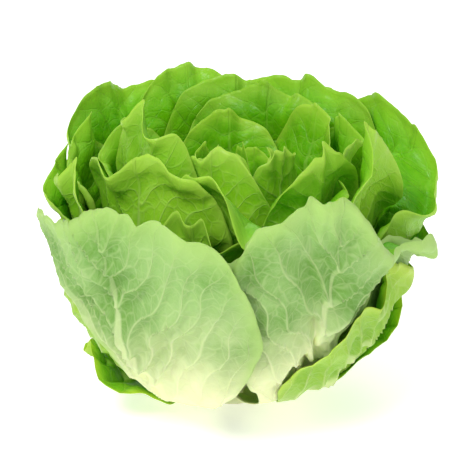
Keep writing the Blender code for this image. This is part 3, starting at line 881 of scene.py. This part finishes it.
# The open leaves.
# Seventeen leaves fill the rosette inside the outer ones. They have opened to the light, so their
# faces are a bright, glossy green, puckered between sunken veins, with thin pale wavy margins.
OPEN_LEAVES = (
    Leaf("leaf_right_back", 106, 0.07, 0.162, 0.070, (-26, -14, 0, 4, 0), (-18, -18, -12, -2, 0),
         0.25, phase=40),
    Leaf("leaf_back_right", 156, 0.13, 0.160, 0.064, (-4, 1, 1, 1, -4), (0, -2, -5, 0, 0), 0.25,
         phase=100),
    Leaf("leaf_back_left", -138, 0.12, 0.162, 0.060, (0, 3, 2, 2, -4), (0, -4, -6, -4, 0), 0.3,
         phase=0),
    Leaf("leaf_back", -162, 0.20, 0.156, 0.040, (0, 4, 4, 3, 0), phase=60),
    Leaf("leaf_back_middle", 178, 0.26, 0.148, 0.042, (0, 0, 0, 0, 0), shoulder=0.3, phase=20),
    Leaf("leaf_left", -92, 0.07, 0.145, 0.044, phase=130),
    Leaf("leaf_left_front", -68, 0.11, 0.148, 0.038, phase=30),
    Leaf("leaf_left_back", -106, 0.19, 0.146, 0.030, phase=90),
    Leaf("leaf_right", 64, 0.22, 0.150, 0.040, (0, 0, 4, 0, -6), (0, 0, 4, 0, -8), phase=70),
    Leaf("leaf_front", -14, 0.22, 0.130, 0.046, (0, 0, 0, 0, 0), phase=160),
    Leaf("leaf_front_left", -42, 0.30, 0.144, 0.048, (2, 0, -2, 2, 4), (-4, 0, 0, 4, 6), 0.3,
         phase=30),
    Leaf("leaf_front_right", 12, 0.37, 0.144, 0.056, (-2, 0, 0, 0, 2), (0, 0, -4, 0, 0),
         lip=-0.024, ruffle=0.003, phase=80),
    Leaf("leaf_right_front", 46, 0.40, 0.136, 0.032, phase=10),
    Leaf("leaf_inner_left", -58, 0.42, 0.140, 0.038, (0, 0, 2, 0, 0), (-4, 0, 2, 4, 6), tip=0.008,
         phase=110),
    Leaf("leaf_inner_back_left", -118, 0.36, 0.128, 0.038, phase=110),
    Leaf("leaf_inner_back", 162, 0.36, 0.138, 0.046, shoulder=0.3, phase=50),
    Leaf("leaf_inner_right", 100, 0.42, 0.130, 0.036, phase=10),
)
OPEN_FORM = Form(76, 0.0004, 0.0013, 0.0058, 0.0013, 0.015, 0.85, 0.26)
OPEN_BACK = leaf_finish(
    "open_leaf_back",
    tones=((0.28, 0.59, 0.02), (0.19, 0.47, 0.008), (0.38, 0.66, 0.05)),
    rib=(0.50, 0.68, 0.20),
    root=(0.70, 0.80, 0.36),
    margin=(0.38, 0.64, 0.07),
    roughness=0.42,
    vein_height=0.0004,
    gloss=0.22,
    net=0.28,
)
OPEN_FACE = leaf_finish(
    "open_leaf_face",
    tones=((0.14, 0.47, 0.001), (0.075, 0.34, 0.001), (0.22, 0.56, 0.004)),
    rib=(0.28, 0.55, 0.06),
    root=(0.48, 0.68, 0.14),
    margin=(0.34, 0.62, 0.05),
    roughness=0.33,
    vein_height=-0.0004,
    gloss=0.2,
)
for leaf in sorted(OPEN_LEAVES, key=lambda each: each.layer):
    build_leaf(leaf, OPEN_FORM, (OPEN_BACK, OPEN_FACE))


# The heart.
# Small young leaves close round the top of the stem, softer and lighter than the open ones. The
# smallest are folded over its tip like a bud.
HEART_LEAVES = (
    Leaf("heart_right", 122, 0.52, 0.122, 0.034, (0, 0, 4, 2, 0), phase=30, ruffle=0.003),
    Leaf("heart_left", -100, 0.52, 0.114, 0.030, ruffle=0.003, phase=90),
    Leaf("heart_front", -14, 0.56, 0.116, 0.036, tip=0.008, ruffle=0.003, phase=20),
    Leaf("heart_back", -178, 0.60, 0.110, 0.032, ruffle=0.003, phase=60),
    Leaf("heart_inner_right", 50, 0.72, 0.102, 0.024, tip=0.004, phase=140, ruffle=0.002),
    Leaf("heart_inner_left", -70, 0.72, 0.092, 0.014, phase=10, ruffle=0.001),
    Leaf("heart_centre", 150, 0.92, 0.080, 0.014, ruffle=0.001, phase=70),
)
HEART_FORM = Form(56, 0.0003, 0.0012, 0.0040, 0.0010, 0.012, 0.85, 0.28)
BUD_LEAVES = (
    Leaf("heart_bud_front", -30, 0.80, 0.090, 0.020, tip=0.006, ruffle=0.001, phase=20),
    Leaf("heart_bud_right", 78, 0.86, 0.084, 0.018, tip=0.006, ruffle=0.001, phase=80),
    Leaf("heart_bud_left", -120, 0.90, 0.080, 0.016, tip=0.006, ruffle=0.001, phase=140),
    Leaf("heart_bud_front_right", 10, 0.98, 0.076, 0.015, tip=0.007, ruffle=0.001, phase=40),
    Leaf("heart_bud_front_left", -62, 1.06, 0.070, 0.014, tip=0.007, ruffle=0.001, phase=100),
    Leaf("heart_bud_back_right", 128, 1.12, 0.066, 0.013, tip=0.007, ruffle=0.001, phase=160),
)
HEART_BACK = leaf_finish(
    "heart_leaf_back",
    tones=((0.32, 0.64, 0.02), (0.23, 0.54, 0.008), (0.42, 0.70, 0.05)),
    rib=(0.56, 0.72, 0.24),
    root=(0.76, 0.82, 0.40),
    margin=(0.42, 0.68, 0.09),
    roughness=0.40,
    vein_height=0.0003,
    gloss=0.25,
    net=0.28,
)
HEART_FACE = leaf_finish(
    "heart_leaf_face",
    tones=((0.18, 0.52, 0.002), (0.11, 0.41, 0.001), (0.27, 0.60, 0.01)),
    rib=(0.36, 0.62, 0.10),
    root=(0.60, 0.74, 0.24),
    margin=(0.40, 0.66, 0.06),
    roughness=0.34,
    vein_height=-0.0003,
    gloss=0.2,
)
BUD_FORM = Form(36, 0.0002, 0.0006, 0.0010, 0.0005, 0.010, 0.85, 0.45)
for leaf in sorted(HEART_LEAVES + BUD_LEAVES, key=lambda each: each.layer):
    form = BUD_FORM if leaf in BUD_LEAVES else HEART_FORM
    build_leaf(leaf, form, (HEART_BACK, HEART_FACE))
